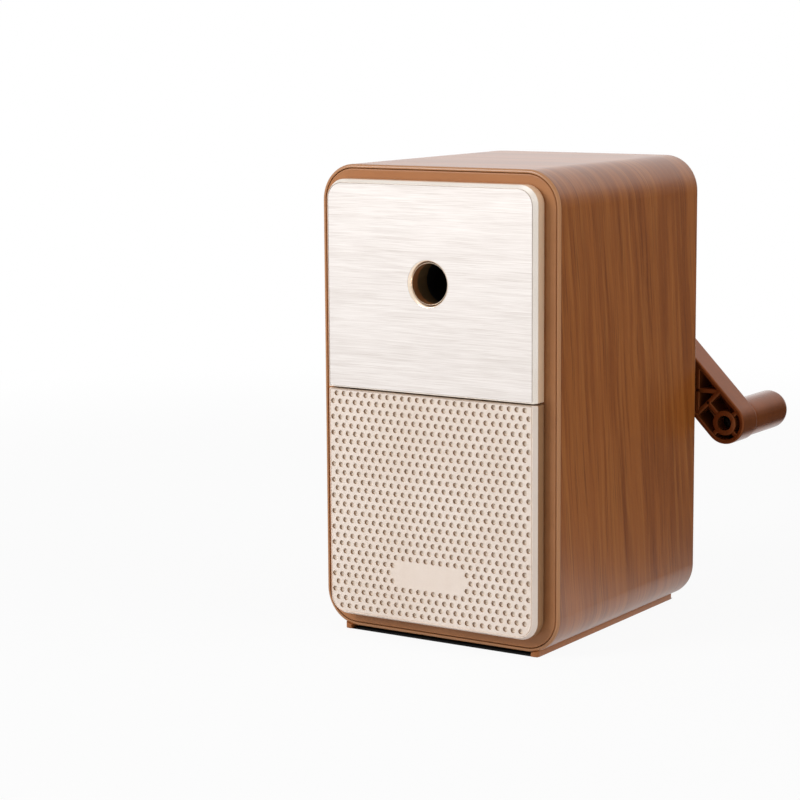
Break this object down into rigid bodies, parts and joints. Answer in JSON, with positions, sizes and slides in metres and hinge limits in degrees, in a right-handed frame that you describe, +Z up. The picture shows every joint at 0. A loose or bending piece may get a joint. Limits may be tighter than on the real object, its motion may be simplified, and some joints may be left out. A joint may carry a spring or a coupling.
{
  "type": "crank pencil sharpener",
  "caption": "Upright desk pencil sharpener: wood-print rounded case, pencil hole in a brushed upper panel, dimpled shavings drawer below, hand crank behind.",
  "frame": {"origin": "centre of the rubber pad's underside, on the table under the middle of the case", "axes": "+X to the right of a person facing the pencil hole, +Y to the back where the crank is, +Z up"},
  "size_m": [0.0737, 0.1003, 0.1076],
  "materials": {
    "wood_print": "satin wood-grain print",
    "bezel_brown": "fine matt",
    "plinth_brown": "fine matt",
    "pad_rubber": "matt",
    "champagne": "pearl champagne",
    "brushed_sheet": "horizontally brushed",
    "cream": "satin, dimpled",
    "tray_clear": "smoky satin",
    "chassis_tan": "moulded",
    "black_plastic": "moulded",
    "gear_steel": "machined",
    "housing_grey": "moulded",
    "bush_brass": "turned",
    "steel": "turned",
    "cutter_steel": "hardened, ground",
    "crank_brown": "glossy",
    "screw_steel": "zinc plated"
  },
  "bodies": {
    "case": {"sleeve": "wood_print", "front_frame": "bezel_brown", "back_cover": "bezel_brown", "base_plate": "plinth_brown", "rubber_pad": "pad_rubber", "base_screws": "screw_steel", "top_panel": "champagne", "brushed_plate": "brushed_sheet", "hole_ring": "champagne", "pencil_nozzle": "bezel_brown", "pencil_guide": "black_plastic", "frame_screws": "screw_steel", "chassis": "chassis_tan", "drawer_guide": "chassis_tan", "cover_screws": "screw_steel", "gear_housing": "housing_grey", "housing_screws": "screw_steel", "ring_gear": "gear_steel", "shaft_bush": "bush_brass"},
    "crank": {"crank_shaft": "steel", "retaining_ring": "steel", "cutter_cage": "black_plastic", "cutter_axle": "steel", "crank_arm": "crank_brown", "crank_screw": "screw_steel"},
    "cutter": {"helical_cutter": "cutter_steel", "cutter_pinion": "gear_steel"},
    "handle": {"grip": "crank_brown", "grip_screw": "screw_steel"},
    "drawer": {"drawer_front": "cream", "drawer_tray": "tray_clear", "drawer_screws": "screw_steel"}
  },
  "joints": [
    {"name": "crank_spin", "type": "hinge", "parent": "case", "child": "crank", "pos_m": [0, 0.039, 0.082], "axis": [0, 1, 0], "continuous": true},
    {"name": "cutter_spin", "type": "hinge", "parent": "crank", "child": "cutter", "pos_m": [0, 0.015, 0.0867], "axis": [0, 0.9833, -0.1822], "continuous": true},
    {"name": "grip_spin", "type": "hinge", "parent": "crank", "child": "handle", "pos_m": [0.03757, 0.0532, 0.04391], "axis": [0, 1, 0], "continuous": true},
    {"name": "drawer_slide", "type": "slide", "parent": "case", "child": "drawer", "axis": [0, -1, 0], "range_m": [0, 0.05]}
  ],
  "couplings": [
    {"joint": "cutter_spin", "follows": "crank_spin", "ratio": -1.8333}
  ]
}
